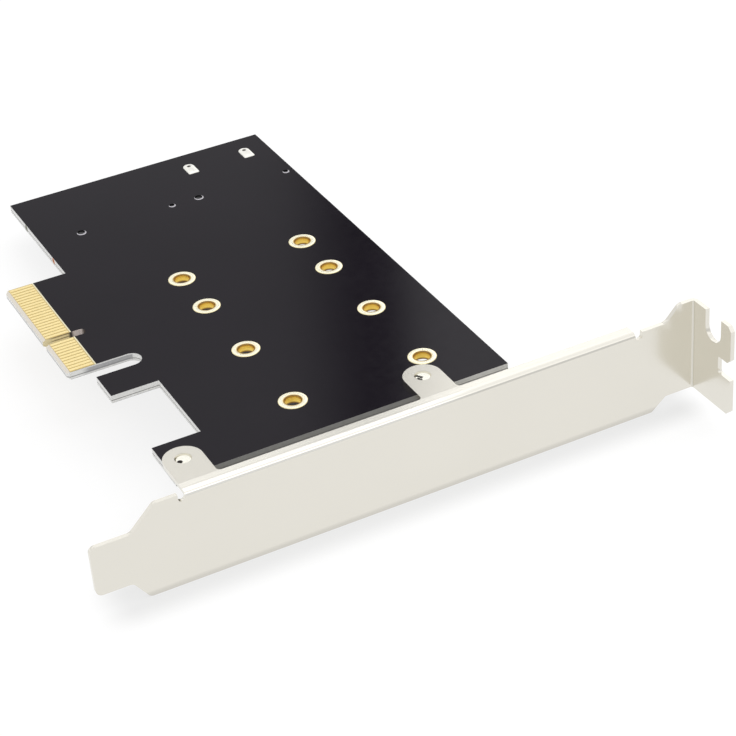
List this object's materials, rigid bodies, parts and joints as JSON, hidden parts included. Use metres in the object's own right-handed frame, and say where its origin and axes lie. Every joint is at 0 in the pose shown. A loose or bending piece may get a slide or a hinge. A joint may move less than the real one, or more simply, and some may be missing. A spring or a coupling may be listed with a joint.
{
  "type": "nvme adapter card",
  "caption": "Plug-in adapter card with two sockets for flat storage modules, a data port, a gold edge connector and a bent sheet-metal mounting bracket.",
  "frame": {"origin": "on the key notch's centre line, at the outer edge of the edge connector and halfway through the board", "axes": "-X points into the expansion slot, +Y runs along the board away from the bracket, +Z points out of the solder side"},
  "size_m": [0.12, 0.1262, 0.0214],
  "materials": {
    "board": "satin black solder mask over glass laminate, with bare tinned lands round the post holes",
    "gold": "pale gold plating",
    "bracket_plate": "nickel-plated sheet steel, satin",
    "screw_steel": "bright plated steel",
    "connector_moulding": "moulded, fine matt",
    "contact_metal": "gold-flashed spring strip",
    "tinned_metal": "tinned",
    "solder": "solidified solder",
    "chip_moulding": "moulded epoxy, matt",
    "inductor_core": "pressed powder, matt",
    "bulk_case": "moulded case with a pale band",
    "capacitor_ceramic": "fired ceramic",
    "resistor_ceramic": "glazed black film",
    "led_lens": "clear resin"
  },
  "bodies": {
    "root": {"circuit_board": "board", "edge_fingers_solder_side": "gold", "edge_fingers_component_side": "gold", "bracket": "bracket_plate", "bracket_screw_edge": "screw_steel", "bracket_screw_middle": "screw_steel", "nvme_socket_housing": "connector_moulding", "sata_socket_housing": "connector_moulding", "data_port_housing": "connector_moulding", "nvme_socket_contacts": "contact_metal", "sata_socket_contacts": "contact_metal", "data_port_contacts": "contact_metal", "nvme_socket_hold_downs": "tinned_metal", "sata_socket_hold_downs": "tinned_metal", "data_port_lock_inner": "tinned_metal", "data_port_lock_outer": "tinned_metal", "regulator_leads": "tinned_metal", "power_inductor_pads": "tinned_metal", "bulk_capacitor_terminals": "tinned_metal", "chip_capacitor_ends": "tinned_metal", "chip_resistor_ends": "tinned_metal", "status_led_ends": "tinned_metal", "data_port_solder_inner": "solder", "data_port_solder_outer": "solder", "regulator_package": "chip_moulding", "power_inductor": "inductor_core", "bulk_capacitors": "bulk_case", "chip_capacitors": "capacitor_ceramic", "chip_resistors": "resistor_ceramic", "status_leds": "led_lens"}
  },
  "joints": []
}
